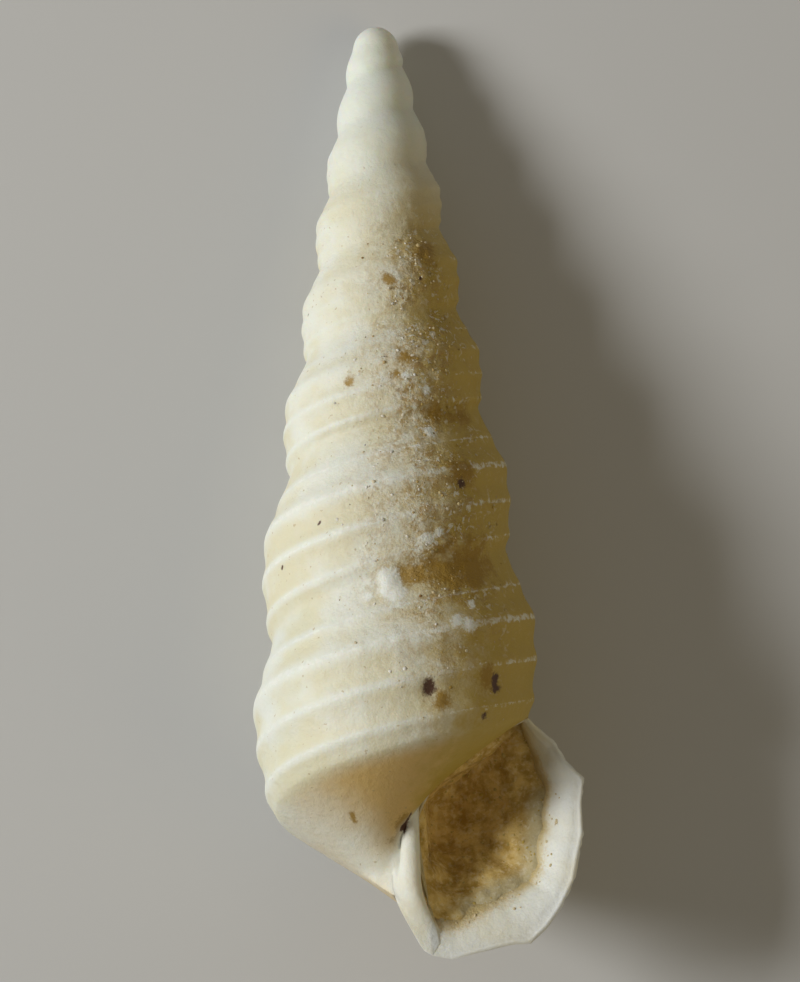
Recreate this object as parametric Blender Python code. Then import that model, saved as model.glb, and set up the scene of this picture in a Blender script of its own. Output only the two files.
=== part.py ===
"""A small turret shell: a high-spired sea snail's shell, lying on its side with its mouth up.

Blender 4.5, metres, +Z up. The shell grew as one piece, so it is one solid, and the sediment packed in its
mouth is another. Both are drawn first about the shell's own axis: depth is measured from the tip towards the
base, radius from the axis, and turn counts whorls, 0 at the lip of the mouth and negative back towards the
tip. Then they are laid down on the worn underside of the shell, with the tip towards +Y and the mouth up.
"""

import math

import bmesh
import bpy
import numpy as np
from mathutils import Matrix, Vector

MM = 0.001

# Driving dimensions of the spiral
BODY_RADIUS = 0.582 * MM  # radius of the last whorl
GROWTH_PER_TURN = 1.230  # each whorl is this much wider than the one before
GROWTH_ENDS = -1.34  # turn about which the widening dies away
GROWTH_EASE = 0.05  # turns over which it does so
TIP_NARROWING = 0.15  # how much narrower the first whorls are than that growth would make them
TIP_FROM, TIP_TO = -8.2, -6.0  # turns between which this dies away
EARLY_DESCENT = 1.012  # how far the suture drops per turn near the tip, in whorl radii
LATE_DESCENT = 1.32  # and near the mouth
DESCENT_STARTS, DESCENT_ENDS = -1.75, -1.2  # turns between which the one becomes the other
EARLY_SUTURE, LATE_SUTURE = 0.935, 0.985  # radius of the suture as a share of the whorl above it
SUTURE_FROM, SUTURE_TO = -4, -1  # turns between which the one becomes the other
NUCLEUS_TURN = -7.5  # turn where the first whorl leaves the rounded tip
NUCLEUS_DEPTH = 0.108 * MM  # how far below the very tip the suture starts

# The face of a whorl, from its upper suture (0) to its lower suture (1)
FACE_BULGE = 0.116  # in whorl radii
BULGE_SKEW = 1.12  # over 1 puts the fullest part nearer the lower suture
CORDS = (  # place down the face, height in whorl radii, and half width as a share of the face
    (0.20, 0.022, 0.055),
    (0.40, 0.058, 0.100),
    (0.65, 0.032, 0.058),
    (0.895, 0.034, 0.047),
)
CORDS_START, CORDS_FULL = -6.6, -4.8  # turns over which the cords come up

# The base, the pillar about the axis and the mouth
PILLAR_RADIUS = 0.058 * MM
PILLAR_BEND_FROM, PILLAR_BEND_TO = 3.93 * MM, 4.27 * MM  # depths between which it bends to the lip
BASE_DROP = 1.85  # depth of the base's end below the upper suture, in whorl radii
BASE_SHOULDER = (0.85, 1.44)  # handles of the base's curve, in whorl radii
BASE_HOLLOW = (0.27, 1.76)
LIP_CORNER = (0.110 * MM, 4.262 * MM)  # the front end of the mouth, from the axis and from the tip
LIP_OUTLINE = (  # the outer lip from the suture round to the front end, from the axis and from the tip
    (0.608 * MM, 3.240 * MM),
    (0.690 * MM, 3.315 * MM),
    (0.742 * MM, 3.410 * MM),
    (0.815 * MM, 3.485 * MM),
    (0.803 * MM, 3.590 * MM),
    (0.805 * MM, 3.735 * MM),
    (0.778 * MM, 3.845 * MM),
    (0.755 * MM, 3.950 * MM),
    (0.692 * MM, 4.065 * MM),
    (0.625 * MM, 4.155 * MM),
    (0.545 * MM, 4.225 * MM),
    (0.475 * MM, 4.222 * MM),
    (0.325 * MM, 4.253 * MM),
    (0.200 * MM, 4.280 * MM),
)
INNER_LIP = (  # the edge of the mouth on the whorl within and on the pillar, from the suture to the front end
    (0.411 * MM, 3.254 * MM),
    (0.288 * MM, 3.314 * MM),
    (0.200 * MM, 3.384 * MM),
    (0.143 * MM, 3.478 * MM),
    (0.095 * MM, 3.553 * MM),
    (0.060 * MM, 3.625 * MM),
    (0.053 * MM, 3.752 * MM),
    (0.063 * MM, 3.879 * MM),
    (0.090 * MM, 4.003 * MM),
    (0.100 * MM, 4.140 * MM),
)
FLARE_TURNS, FLARE_POWER = 0.09, 2.2  # the last part of the tube opens out to the lip
INNER_TURNS = 0.10  # and the first part of the base bends to the inner lip
BLADE_TURN, BLADE_WIDTH, BLADE_HEIGHT = -0.86, 0.11, 0.030 * MM  # ridge down the front of the pillar
CHINK_TURN, CHINK_WIDTH, CHINK_DEPTH = -0.66, 0.06, 0.030 * MM  # slit between it and the base
SWELL_FROM, CHINK_FADE = 0.60, 0.40  # where they start on the base, and where the slit ends on the pillar
LIP_EDGE = 0.030 * MM  # thickness of the lip at its edge
WALL = 0.050 * MM  # thickness of the whorl's wall
FLOOR = 0.210 * MM  # thickness of its floor at the pillar
GLAZE = 0.012 * MM  # layer on the pillar and on the whorl within, inside the mouth
CAVITY_END = -0.62  # turn where the open part of the tube ends

# The sediment in the mouth
FILL_FRONT = -0.045  # turn of its face
FILL_HOLLOW = 0.05  # how much deeper the middle of its face lies, in turns
FILL_GAP = 0.012 * MM  # clearance to the shell all round

# How it lies
LAY_TILT = math.radians(9.5)  # the axis dips to the tip, because the shell is a cone on its side
WEAR = 0.025 * MM  # how deep the cords under it are worn flat

# Fineness of the solids
STEPS_PER_TURN = 26
FACE_ROWS = (0, 0.08, 0.14, 0.20, 0.27, 0.34, 0.41, 0.50, 0.58, 0.65, 0.72, 0.82, 0.90, 1)
BASE_ROWS = 6
PILLAR_ROWS = 4
TIP_RINGS = 3
CAVITY_TURNS = (0, -0.02, FILL_FRONT, -0.08, -0.13, -0.20, -0.28, -0.36, -0.45, -0.54, CAVITY_END)
CAP_SHARES = (0.55, 0)  # rings that close an end, as shares of the way out from its middle
WELD = 0.0012 * MM
CREASE_ANGLE = math.radians(40)

SHELL_COLOUR = (0.80, 0.72, 0.54, 1)
SEDIMENT_COLOUR = (0.36, 0.25, 0.12, 1)


def ease(value, low, high):
    """0 below low, 1 above high, and a smooth step between."""
    share = min(1.0, max(0.0, (value - low) / (high - low)))
    return share * share * (3 - 2 * share)


def whorl_radius(turn):
    slowed = -GROWTH_EASE * math.log1p(math.exp((turn - GROWTH_ENDS) / -GROWTH_EASE))
    narrowed = 1 - TIP_NARROWING * (1 - ease(turn, TIP_FROM, TIP_TO))
    return BODY_RADIUS * GROWTH_PER_TURN**slowed * narrowed


def descent(turn):
    """How far the suture drops per turn."""
    late = ease(turn, DESCENT_STARTS, DESCENT_ENDS)
    return whorl_radius(turn) * (EARLY_DESCENT + (LATE_DESCENT - EARLY_DESCENT) * late)


SUTURE_TURNS = np.linspace(NUCLEUS_TURN, 1, 881)
SUTURE_DEPTHS = NUCLEUS_DEPTH + np.cumsum([descent(t) for t in SUTURE_TURNS]) * (SUTURE_TURNS[1] - SUTURE_TURNS[0])


def suture(turn):
    """(radius, depth) of the suture above the whorl. Before the nucleus it is a level ring."""
    turn = max(turn, NUCLEUS_TURN)
    share = EARLY_SUTURE + (LATE_SUTURE - EARLY_SUTURE) * ease(turn, SUTURE_FROM, SUTURE_TO)
    return share * whorl_radius(turn - 1), float(np.interp(turn, SUTURE_TURNS, SUTURE_DEPTHS))


def face_point(turn, down):
    """(radius, depth) on the face of a whorl, from its upper suture (0) to its lower suture (1)."""
    (r0, d0), (r1, d1) = suture(turn), suture(turn + 1)
    relief = FACE_BULGE * math.sin(math.pi * down**BULGE_SKEW)
    for place, height, half_width in CORDS:
        relief += height * math.exp(-(((down - place) / half_width) ** 2)) * ease(turn, CORDS_START, CORDS_FULL)
    if down in (0, 1):
        relief = 0
    size = min(whorl_radius(turn), d1 - d0)
    return r0 + (r1 - r0) * down + size * relief, d0 + (d1 - d0) * down


def bezier(a, b, c, d, t):
    s = 1 - t
    return tuple(s**3 * p + 3 * s * s * t * q + 3 * s * t * t * r + t**3 * u for p, q, r, u in zip(a, b, c, d))


def swell(turn, down):
    """How far the ridge on the pillar stands out, and the slit beside it is cut in, by the way down the pillar."""
    blade = BLADE_HEIGHT * math.exp(-(((turn - BLADE_TURN) / BLADE_WIDTH) ** 2))
    chink = CHINK_DEPTH * math.exp(-(((turn - CHINK_TURN) / CHINK_WIDTH) ** 2))
    return blade - chink * (1 - ease(down, 0, CHINK_FADE))


def base_end(turn):
    """(radius, depth) where the base meets the pillar."""
    return PILLAR_RADIUS, min(suture(turn)[1] + BASE_DROP * whorl_radius(turn), LIP_CORNER[1])


def base_point(turn, across):
    """(radius, depth) on the base, from the lower suture line (0) to the pillar (1)."""
    radius, top = whorl_radius(turn), suture(turn)[1]
    shoulder, hollow = [(r * radius, top + d * radius) for r, d in (BASE_SHOULDER, BASE_HOLLOW)]
    point = bezier(suture(turn + 1), shoulder, hollow, base_end(turn), across)
    return point[0] + swell(turn, 0) * ease(across, SWELL_FROM, 1), point[1]


def pillar_point(turn, down):
    """(radius, depth) on the pillar, from the base (0) to its front end (1), where it is rounded off."""
    start = base_end(turn)[1]
    radius = (PILLAR_RADIUS + swell(turn, down)) * math.sqrt(1 - down**6)
    return radius, start + (LIP_CORNER[1] - start) * down


def about_axis(turn, radius, depth):
    """The point at this turn, radius and depth. The lower end of the axis bends towards the lip."""
    angle = 2 * math.pi * turn
    bend = LIP_CORNER[0] * ease(depth, PILLAR_BEND_FROM, PILLAR_BEND_TO)
    return Vector((radius * math.cos(angle) + bend, -depth, radius * math.sin(angle)))


def along(points, lengths, share):
    """The point at this share of the length of a line through the points."""
    return Vector([np.interp(share * lengths[-1], lengths, [p[axis] for p in points]) for axis in range(3)])


def lengths_of(points):
    return np.concatenate([[0], np.cumsum([(b - a).length for a, b in zip(points, points[1:])])])


LAST_FACE = len(FACE_ROWS) - 1
LAST_BASE = LAST_FACE + BASE_ROWS
LAST_ROW = LAST_BASE + PILLAR_ROWS


def plain_point(turn, row):
    """A point of the last whorl before its lip is opened out: its face, its base and its pillar."""
    if row <= LAST_FACE:
        return about_axis(turn, *face_point(turn, FACE_ROWS[row]))
    if row <= LAST_BASE:
        return about_axis(turn, *base_point(turn, (row - LAST_FACE) / BASE_ROWS))
    return about_axis(turn, *pillar_point(turn, (row - LAST_BASE) / PILLAR_ROWS))


def lip_edge(turn, first_row, shape):
    """The edge of the mouth along a shape, one point for each row, spaced as the rows are at this turn."""
    rows = [plain_point(turn, row) for row in range(first_row, LAST_ROW + 1)]
    outline = [rows[0]] + [Vector((r, -d, 0)) for r, d in shape] + [rows[-1]]
    row_lengths, outline_lengths = lengths_of(rows), lengths_of(outline)
    points = [along(outline, outline_lengths, length / row_lengths[-1]) for length in row_lengths]
    return dict(zip(range(first_row, LAST_ROW + 1), points))


OUTER_EDGE = lip_edge(0, 0, LIP_OUTLINE)
INNER_EDGE = lip_edge(-1, LAST_FACE, INNER_LIP)


def flare(turn):
    """0 along the tube, rising to 1 at its lip."""
    return max(0.0, 1 + turn / FLARE_TURNS) ** FLARE_POWER


def body_point(turn, row):
    """A point on the outside of the last whorl, which opens to the outer lip and starts at the inner one."""
    point = plain_point(turn, row).lerp(OUTER_EDGE[row], flare(turn))
    if row > LAST_FACE:
        point = point.lerp(INNER_EDGE[row], max(0.0, 1 - (turn + 1) / INNER_TURNS) ** 2)
    return point


# The loop round the mouth: down the outer lip, then up the pillar and along the whorl within
LOOP = [(0, row) for row in range(LAST_ROW)] + [(-1, row) for row in range(LAST_ROW, LAST_FACE, -1)]
PILLAR_LOOP = 2 * PILLAR_ROWS


def loop_point(place):
    turn, row = LOOP[place % len(LOOP)]
    return body_point(turn, row)


def mean_of(points):
    return sum(points, Vector()) / len(points)


def towards(point, middle, distance):
    """The point moved this far towards the middle."""
    return point + (middle - point).normalized() * distance


def tube_outline(turn):
    """The tube's section at this turn, in the loop's order, as it is before its walls are thickened."""
    outer = [face_point(turn, down) for down in FACE_ROWS]
    floor = [base_point(turn, k / BASE_ROWS) for k in range(1, BASE_ROWS + 1)]
    low, high = base_end(turn)[1], base_end(turn - 1)[1]
    pillar = [(PILLAR_RADIUS, low + (high - low) * k / PILLAR_LOOP) for k in range(1, PILLAR_LOOP + 1)]
    roof = [base_point(turn - 1, k / BASE_ROWS) for k in range(BASE_ROWS - 1, 0, -1)]
    return outer + floor + pillar + roof


def wall_at(place):
    """Thickness of the shell round the open tube, by place on the loop."""
    if place <= LAST_FACE:
        return WALL
    if place <= LAST_BASE:
        return WALL + (FLOOR - WALL) * (place - LAST_FACE) / BASE_ROWS
    return GLAZE


def section(turn, gap=0):
    """The open tube's ring at this turn, narrowed all round by a gap."""
    outline = tube_outline(turn)
    middle = mean_of([Vector((r, d, 0)) for r, d in outline])
    ring = []
    for place, (r, d) in enumerate(outline):
        point = towards(Vector((r, d, 0)), middle, wall_at(place) + gap)
        floor_top = base_end(turn)[1] - FLOOR - gap
        ring.append(about_axis(turn, point.x, min(point.y, floor_top) if place > LAST_BASE else point.y))
    return ring


def mouth_ring(turn, gap=0):
    """A ring of the inside of the mouth, which opens out to the lip."""
    edge = [loop_point(place) for place in range(len(LOOP))]
    middle = mean_of(edge)
    walls = [gap + (LIP_EDGE if place < LAST_ROW else GLAZE) for place in range(len(LOOP))]
    inner = [towards(point, middle, wall) for point, wall in zip(edge, walls)]
    return [a.lerp(b, flare(turn)) for a, b in zip(section(turn, gap), inner)]


def closing_rings(ring, sag=Vector()):
    """Rings that close the end of a tube, shrinking to its middle."""
    middle = mean_of(ring)
    return [[middle.lerp(p, share) + sag * (1 - share * share) for p in ring] for share in CAP_SHARES]


def add_grid(mesh, columns, rows, place):
    """A grid of columns by rows cells, whose corner (column, row) goes to place(column, row)."""
    for vert in bmesh.ops.create_grid(mesh, x_segments=columns, y_segments=rows, size=0.5)["verts"]:
        vert.co = place(round((vert.co.x + 0.5) * columns), round((vert.co.y + 0.5) * rows))


def add_rings(mesh, rings):
    """A tube through closed rings that have the same number of points."""
    add_grid(mesh, len(rings) - 1, len(rings[0]), lambda i, j: rings[i][j % len(rings[i])])


def tip_point(ring, step):
    """A point on the rounded tip, from the level ring of the first suture (0) to the very tip."""
    lift = math.pi / 2 * ring / TIP_RINGS
    radius, depth = suture(NUCLEUS_TURN)
    return about_axis(NUCLEUS_TURN + step / STEPS_PER_TURN, radius * math.cos(lift), depth * (1 - math.sin(lift)))


def shell_mesh():
    mesh = bmesh.new()
    spire_start = NUCLEUS_TURN - 1
    spire_steps = round((-1 - spire_start) * STEPS_PER_TURN)

    def spire_point(step, row):
        turn = spire_start + (-1 - spire_start) * step / spire_steps
        return about_axis(turn, *face_point(turn, FACE_ROWS[row]))

    add_grid(mesh, TIP_RINGS, STEPS_PER_TURN, tip_point)
    add_grid(mesh, spire_steps, LAST_FACE, spire_point)
    add_grid(mesh, STEPS_PER_TURN, LAST_ROW, lambda step, row: body_point(step / STEPS_PER_TURN - 1, row))
    edge = [loop_point(place) for place in range(len(LOOP))]
    tube = [edge] + [mouth_ring(turn) for turn in CAVITY_TURNS]
    add_rings(mesh, tube + closing_rings(tube[-1]))
    return mesh


def fill_mesh():
    mesh = bmesh.new()
    tube = [mouth_ring(turn, FILL_GAP) for turn in CAVITY_TURNS if FILL_FRONT >= turn > CAVITY_END]
    hollow = mean_of(mouth_ring(FILL_FRONT - FILL_HOLLOW)) - mean_of(mouth_ring(FILL_FRONT))
    add_rings(mesh, closing_rings(tube[0], hollow)[::-1] + tube + closing_rings(tube[-1]))
    return mesh


def close(mesh):
    bmesh.ops.remove_doubles(mesh, verts=mesh.verts, dist=WELD)
    bmesh.ops.dissolve_degenerate(mesh, edges=mesh.edges, dist=WELD)
    bmesh.ops.recalc_face_normals(mesh, faces=mesh.faces)


def lay_down(meshes, shell):
    """Turn the meshes onto the shell's underside, wear that flat, and set it on the origin."""
    for mesh in meshes:
        bmesh.ops.rotate(mesh, verts=mesh.verts, matrix=Matrix.Rotation(-LAY_TILT, 3, "X"))
    ground = min(v.co.z for v in shell.verts) + WEAR
    geometry = shell.verts[:] + shell.edges[:] + shell.faces[:]
    bmesh.ops.bisect_plane(shell, geom=geometry, plane_co=(0, 0, ground), plane_no=(0, 0, 1), clear_inner=True)
    bmesh.ops.holes_fill(shell, edges=[e for e in shell.edges if e.is_boundary])
    middle = [(min(v.co[a] for v in shell.verts) + max(v.co[a] for v in shell.verts)) / 2 for a in (0, 1)]
    for mesh in meshes:
        bmesh.ops.translate(mesh, verts=mesh.verts, vec=(-middle[0], -middle[1], -ground))


def material(name, colour, roughness):
    made = bpy.data.materials.new(name)
    made.use_nodes = True
    surface = made.node_tree.nodes["Principled BSDF"]
    surface.inputs["Base Color"].default_value = colour
    surface.inputs["Roughness"].default_value = roughness
    surface.inputs["Metallic"].default_value = 0
    return made


def add_object(name, mesh, finish):
    data = bpy.data.meshes.new(name)
    mesh.to_mesh(data)
    mesh.free()
    data.shade_smooth()
    data.set_sharp_from_angle(angle=CREASE_ANGLE)
    data.materials.append(finish)
    bpy.context.scene.collection.objects.link(bpy.data.objects.new(name, data))


def main():
    for old in list(bpy.data.objects):
        bpy.data.objects.remove(old)
    shell, fill = shell_mesh(), fill_mesh()
    close(shell)
    close(fill)
    lay_down([shell, fill], shell)
    add_object("shell", shell, material("aged_shell", SHELL_COLOUR, 0.5))
    add_object("sediment_fill", fill, material("sandy_sediment", SEDIMENT_COLOUR, 0.9))


main()
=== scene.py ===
"""Looks of a small turret shell that lies on its side with its mouth up, packed with sandy sediment.

The shell and the sediment are made again here at full detail, over the solids of the frame. Both are drawn
first about the shell's own axis: depth is measured from the tip towards the base, radius from the axis, and
turn counts whorls, 0 at the lip and negative back towards the tip. Then they are laid down as the solids are.
"""

import math
import random

import bmesh
import bpy
import numpy as np
from mathutils import Matrix, Vector, kdtree, noise
from mathutils.bvhtree import BVHTree


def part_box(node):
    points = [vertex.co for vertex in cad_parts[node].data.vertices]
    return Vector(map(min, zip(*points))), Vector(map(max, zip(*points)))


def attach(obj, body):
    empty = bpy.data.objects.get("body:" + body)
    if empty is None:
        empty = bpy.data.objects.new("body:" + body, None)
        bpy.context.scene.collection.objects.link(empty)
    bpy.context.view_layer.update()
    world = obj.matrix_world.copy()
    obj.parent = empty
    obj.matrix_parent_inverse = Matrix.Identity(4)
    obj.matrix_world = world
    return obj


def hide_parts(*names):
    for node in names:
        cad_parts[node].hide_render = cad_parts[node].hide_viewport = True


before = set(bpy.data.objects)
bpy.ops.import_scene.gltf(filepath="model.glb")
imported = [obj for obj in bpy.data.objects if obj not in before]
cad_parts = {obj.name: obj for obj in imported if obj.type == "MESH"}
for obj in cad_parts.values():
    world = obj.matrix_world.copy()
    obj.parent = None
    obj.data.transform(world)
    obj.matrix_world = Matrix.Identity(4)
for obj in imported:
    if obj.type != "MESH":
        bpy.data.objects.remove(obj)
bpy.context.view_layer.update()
SHELL_LOW, SHELL_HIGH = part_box("shell")

MM = 0.001

# The spiral, with the driving dimensions of the solid
BODY_RADIUS = 0.582 * MM
GROWTH_PER_TURN, GROWTH_ENDS, GROWTH_EASE = 1.230, -1.34, 0.05
EARLY_DESCENT, LATE_DESCENT = 1.012, 1.32
DESCENT_STARTS, DESCENT_ENDS = -1.75, -1.2
EARLY_SUTURE, LATE_SUTURE = 0.935, 0.985
SUTURE_FROM, SUTURE_TO = -4, -1
TIP_NARROWING, TIP_FROM, TIP_TO = 0.15, -8.2, -6.0
NUCLEUS_TURN, NUCLEUS_DEPTH = -7.5, 0.108 * MM
LAY_TILT = math.radians(9.5)

# The face of a whorl
FACE_BULGE, BULGE_SKEW = 0.116, 1.12
CORDS = (  # place down the face, height in whorl radii, and half width as a share of the face
    (0.20, 0.022, 0.055),
    (0.40, 0.058, 0.100),
    (0.65, 0.032, 0.058),
    (0.895, 0.034, 0.047),
)
CORDS_START, CORDS_FULL = -6.6, -4.8
RIBS_PER_TURN = 22
RIB_HEIGHT, RIB_WIDTH = 0.013, 0.11  # in whorl radii, and in rib spacings
RIB_STRAY = 0.18  # how far a rib stands off its regular place, in rib spacings
RIB_LEFT, RIB_PATCHES = 0.35, 1.3  # what wear has left of a rib on average, and how much that varies
RIB_BARE, RIB_SHELTER = 0.12, 0.10  # share of a rib off the sandy band, and half the band's width in turns
RIB_TOP, RIB_FOOT = (0.02, 0.12), (0.90, 0.97)  # places down the face between which a rib rises and ends
CORD_STRAY = 0.006  # how far a cord wanders, as a share of the face
CORD_LOW, CORD_ON_RIB = 0.92, 0.22  # a cord's height between the ribs, and how much more it has on one
SUTURE_EDGE = 0.035  # share of the face over which the relief dies away at a suture
WEAR_HEIGHT, WEAR_SIZE = 0.006, 0.16 * MM  # unevenness of the worn surface, in whorl radii, and its size
WEAR_ALONG = 6  # how fast the unevenness changes along the shell

# The base, the pillar about the axis and the mouth
PILLAR_RADIUS = 0.058 * MM
PILLAR_BEND_FROM, PILLAR_BEND_TO = 3.93 * MM, 4.27 * MM
BASE_DROP = 1.85
BASE_SHOULDER, BASE_HOLLOW = (0.85, 1.44), (0.27, 1.76)
LIP_CORNER = (0.110 * MM, 4.262 * MM)
LIP_OUTLINE = (
    (0.608 * MM, 3.240 * MM),
    (0.690 * MM, 3.315 * MM),
    (0.742 * MM, 3.410 * MM),
    (0.815 * MM, 3.485 * MM),
    (0.803 * MM, 3.590 * MM),
    (0.805 * MM, 3.735 * MM),
    (0.778 * MM, 3.845 * MM),
    (0.755 * MM, 3.950 * MM),
    (0.692 * MM, 4.065 * MM),
    (0.625 * MM, 4.155 * MM),
    (0.545 * MM, 4.225 * MM),
    (0.475 * MM, 4.222 * MM),
    (0.325 * MM, 4.253 * MM),
    (0.200 * MM, 4.280 * MM),
)
INNER_LIP = (
    (0.411 * MM, 3.254 * MM),
    (0.288 * MM, 3.314 * MM),
    (0.200 * MM, 3.384 * MM),
    (0.143 * MM, 3.478 * MM),
    (0.095 * MM, 3.553 * MM),
    (0.060 * MM, 3.625 * MM),
    (0.053 * MM, 3.752 * MM),
    (0.063 * MM, 3.879 * MM),
    (0.090 * MM, 4.003 * MM),
    (0.100 * MM, 4.140 * MM),
)
FLARE_TURNS, FLARE_POWER = 0.09, 2.2  # how far back from the outer lip the tube opens out, and how suddenly
INNER_TURNS = 0.10  # how far the inner lip's shape runs on into the last whorl
BLADE_TURN, BLADE_WIDTH, BLADE_HEIGHT = -0.86, 0.11, 0.030 * MM  # the ridge on the pillar
CHINK_TURN, CHINK_WIDTH, CHINK_DEPTH = -0.66, 0.06, 0.030 * MM  # the slit beside the ridge
SWELL_FROM, CHINK_FADE = 0.60, 0.40  # where on the base both begin, and where down the pillar the slit ends
PILLAR_ROUNDING = 6  # power of the curve that rounds off the pillar's end
LIP_EDGE, WALL, BASE_WALL, GLAZE = 0.030 * MM, 0.050 * MM, 0.210 * MM, 0.012 * MM
LIP_RINGS, LIP_ROUNDING = 5, 0.010 * MM
CAVITY_END, CAVITY_CLOSING = -0.62, (0.8, 0.55, 0.3, 0)
INSIDE, INSIDE_FROM = (0, 4), 3.5  # the chart's spot for the inside of the mouth, and the least down for it

# The sediment. Its gap to the shell is negative, so that it reaches into the wall and no slit shows
FILL_FRONT, FILL_GAP, FILL_HOLLOW = -0.045, -0.008 * MM, 0.13
FILL_RINGS, FILL_CLOSING = 24, (0.6, 0.3, 0)

# The corner where the pillar runs out into the lip
CORNER = (0.070 * MM, 4.080 * MM, 0.36 * MM)  # radius, depth and reach of the smooth hollow beside the pillar
CORNER_FULL, CORNER_SEEN = 0.7, 1.4  # shares of the reach: raised in full, and looked at for the level
CORNER_CELL, CORNER_SOFTNESS, CORNER_DEPTH = 0.008 * MM, 0.042 * MM, 0.10 * MM
CORNER_UP = 0.05  # upward part of the normal from which a surface counts as facing up
FILL_BELOW = 0.002 * MM  # how far the sediment stays under the shell where both are raised
END_SINKS, END_NEAR, END_FAR = 0.88, 0.05 * MM, 0.28 * MM  # how the pillar's end is let down to the lip

# The band of sand and grime along the front, a little right of the middle
BAND_MIDDLE, BAND_WIDTH = 0.185, 0.092  # as shares of a turn, 0 at the right and 0.25 in front
BAND_LEFT = 0.9  # width of its left half as a share of its right half
BAND_FROM, BAND_FULL, BAND_FADE, BAND_TO = -4.4, -3.7, -0.8, 0.0  # turns along the band
BAND_LOSS = 0.8  # share of the band that is gone at its lower end
BAND_FOOT = (0.85, 1.15)  # places down the whorl between which it ends
PATCH_CONTRAST = 0.9
SAND_PATCH, SAND_SEED, SAND_SPARSE = 0.13 * MM, 1, 0.15  # the last is how much of a patch has no grains
GRIT_LEAST, GRIT_PATCHES = 0.35, 1.1  # grit between the patches of sand, and how much more is in them
GRIT_HEIGHT, GRIT_SIZE, GRIT_SEED = 0.009 * MM, 0.028 * MM, 3
LIP_SAND, LIP_SILT = 0.10 * MM, 0.095 * MM  # how far sand and silt lie on the lip beyond the sediment
SILT_FROM = 1.9  # how far down the silt begins

# Grains of sand
GRAINS, MOUTH_GRAINS, LIP_GRAINS = 700, 500, 40
CRUST_SEED, MOUTH_SEED = 5, 11
GRAIN_RADIUS = (0.003 * MM, 0.010 * MM)
CRUST_POWER, MOUTH_POWER = 2.5, 2  # the higher, the more of the grains are small
GRAIN_STRETCH, GRAIN_THICKNESS, GRAIN_CORNERS = (0.7, 1.3), (0.4, 0.8), (0.75, 1.15)
GRAIN_SPIN, GRAIN_SINKS = 6.28, 0.1  # in radians, and in radii
CRUST_DOWN = (0.02, 0.98)
CRUST_STEP = (0.004, 0.01)  # steps in turn and down by which a grain finds which way is out
LIP_SPREAD = 0.5  # how far the grains on the lip lie forward of the sediment, as a share of its depth
# Warmth: how far right the grains of the mouth and the lip count, for their olive of stain and painted shade
MOUTH_WARMTH, LIP_WARMTH, LIP_SHADE = 0.8, 0.2, 0.5
MOUTH_STAIN_AND_SHADE, CRUST_STAIN_AND_SHADE = 0.85, 0.6  # how strongly the olive of the right side, partly stain and partly painted shade, colours the grains

# The sediment's face
SEDIMENT_LUMPS = ((0.020, 0.09, 7), (0.010, 0.04, 8))  # height and size in mm, and seed
SEDIMENT_UP, SEDIMENT_OPEN = 0.2, 0.25  # upward part of the normal from which it has lumps, and grains
PALE_REACH = 0.17 * MM  # how far pale sand reaches from the outer lip

# Marks at their (turn, down) on the whorls: radius, and depth below the surface (negative for a lump)
PITS = (
    ((-0.786, 0.727), 0.044 * MM, 0.014 * MM),
    ((-0.875, 0.730), 0.030 * MM, 0.010 * MM),
    ((-0.877, 0.790), 0.028 * MM, 0.008 * MM),
    ((-0.859, 0.940), 0.020 * MM, 0.006 * MM),
    ((-1.849, 0.500), 0.030 * MM, 0.008 * MM),
    ((-1.790, 0.330), 0.012 * MM, 0.004 * MM),
    ((-0.797, 1.87), 0.012 * MM, 0.006 * MM),
    ((-0.786, 1.93), 0.016 * MM, 0.010 * MM),
    ((-0.765, 1.95), 0.017 * MM, 0.012 * MM),
    ((-0.745, 1.95), 0.017 * MM, 0.010 * MM),
    ((-3.828, 0.614), 0.011 * MM, 0.004 * MM),
    ((-1.651, 0.545), 0.009 * MM, 0.003 * MM),
    ((-1.583, 0.705), 0.008 * MM, 0.002 * MM),
    ((-3.557, 0.614), 0.007 * MM, 0.002 * MM),
)
STAINS = (
    ((-0.766, 0.03), 0.060 * MM, 0),
    ((-0.812, 0.05), 0.090 * MM, 0),
    ((-0.865, 0.05), 0.140 * MM, 0),
    ((-1.849, 0.42), 0.080 * MM, 0),
    ((-1.833, 0.02), 0.060 * MM, 0),
    ((-1.890, 0.04), 0.060 * MM, 0),
    ((-3.760, 0.57), 0.035 * MM, 0),
    ((-3.850, 0.30), 0.070 * MM, 0),
    ((-2.781, 0.43), 0.040 * MM, 0),
    ((-2.766, 0.57), 0.030 * MM, 0),
    ((-2.688, 0.55), 0.025 * MM, 0),
    ((-0.800, 0.80), 0.050 * MM, 0),
    ((-0.860, 0.72), 0.055 * MM, 0),
    ((-0.750, 1.86), 0.050 * MM, 0),
    ((-0.690, 1.93), 0.045 * MM, 0),
    ((-0.628, 1.50), 0.022 * MM, 0),
    ((-0.620, 1.55), 0.016 * MM, 0),
)
CHALK = (
    ((-0.738, 0.00), 0.050 * MM, -0.014 * MM),
    ((-0.744, 0.07), 0.050 * MM, -0.016 * MM),
    ((-0.752, 0.13), 0.042 * MM, -0.008 * MM),
    ((-0.715, 0.10), 0.026 * MM, -0.005 * MM),
    ((-1.795, 0.83), 0.034 * MM, -0.006 * MM),
    ((-1.813, 0.80), 0.028 * MM, -0.005 * MM),
    ((-0.820, 0.37), 0.040 * MM, -0.005 * MM),
    ((-0.838, 0.40), 0.036 * MM, -0.005 * MM),
    ((-0.846, 0.28), 0.022 * MM, -0.004 * MM),
    ((-1.815, 0.12), 0.030 * MM, -0.004 * MM),
    ((-2.778, 0.60), 0.022 * MM, -0.003 * MM),
    ((-2.815, 0.78), 0.022 * MM, -0.003 * MM),
)
MARK_PATCH, MARK_SEED = 0.05 * MM, 5  # patches in which the marks are larger
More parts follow.
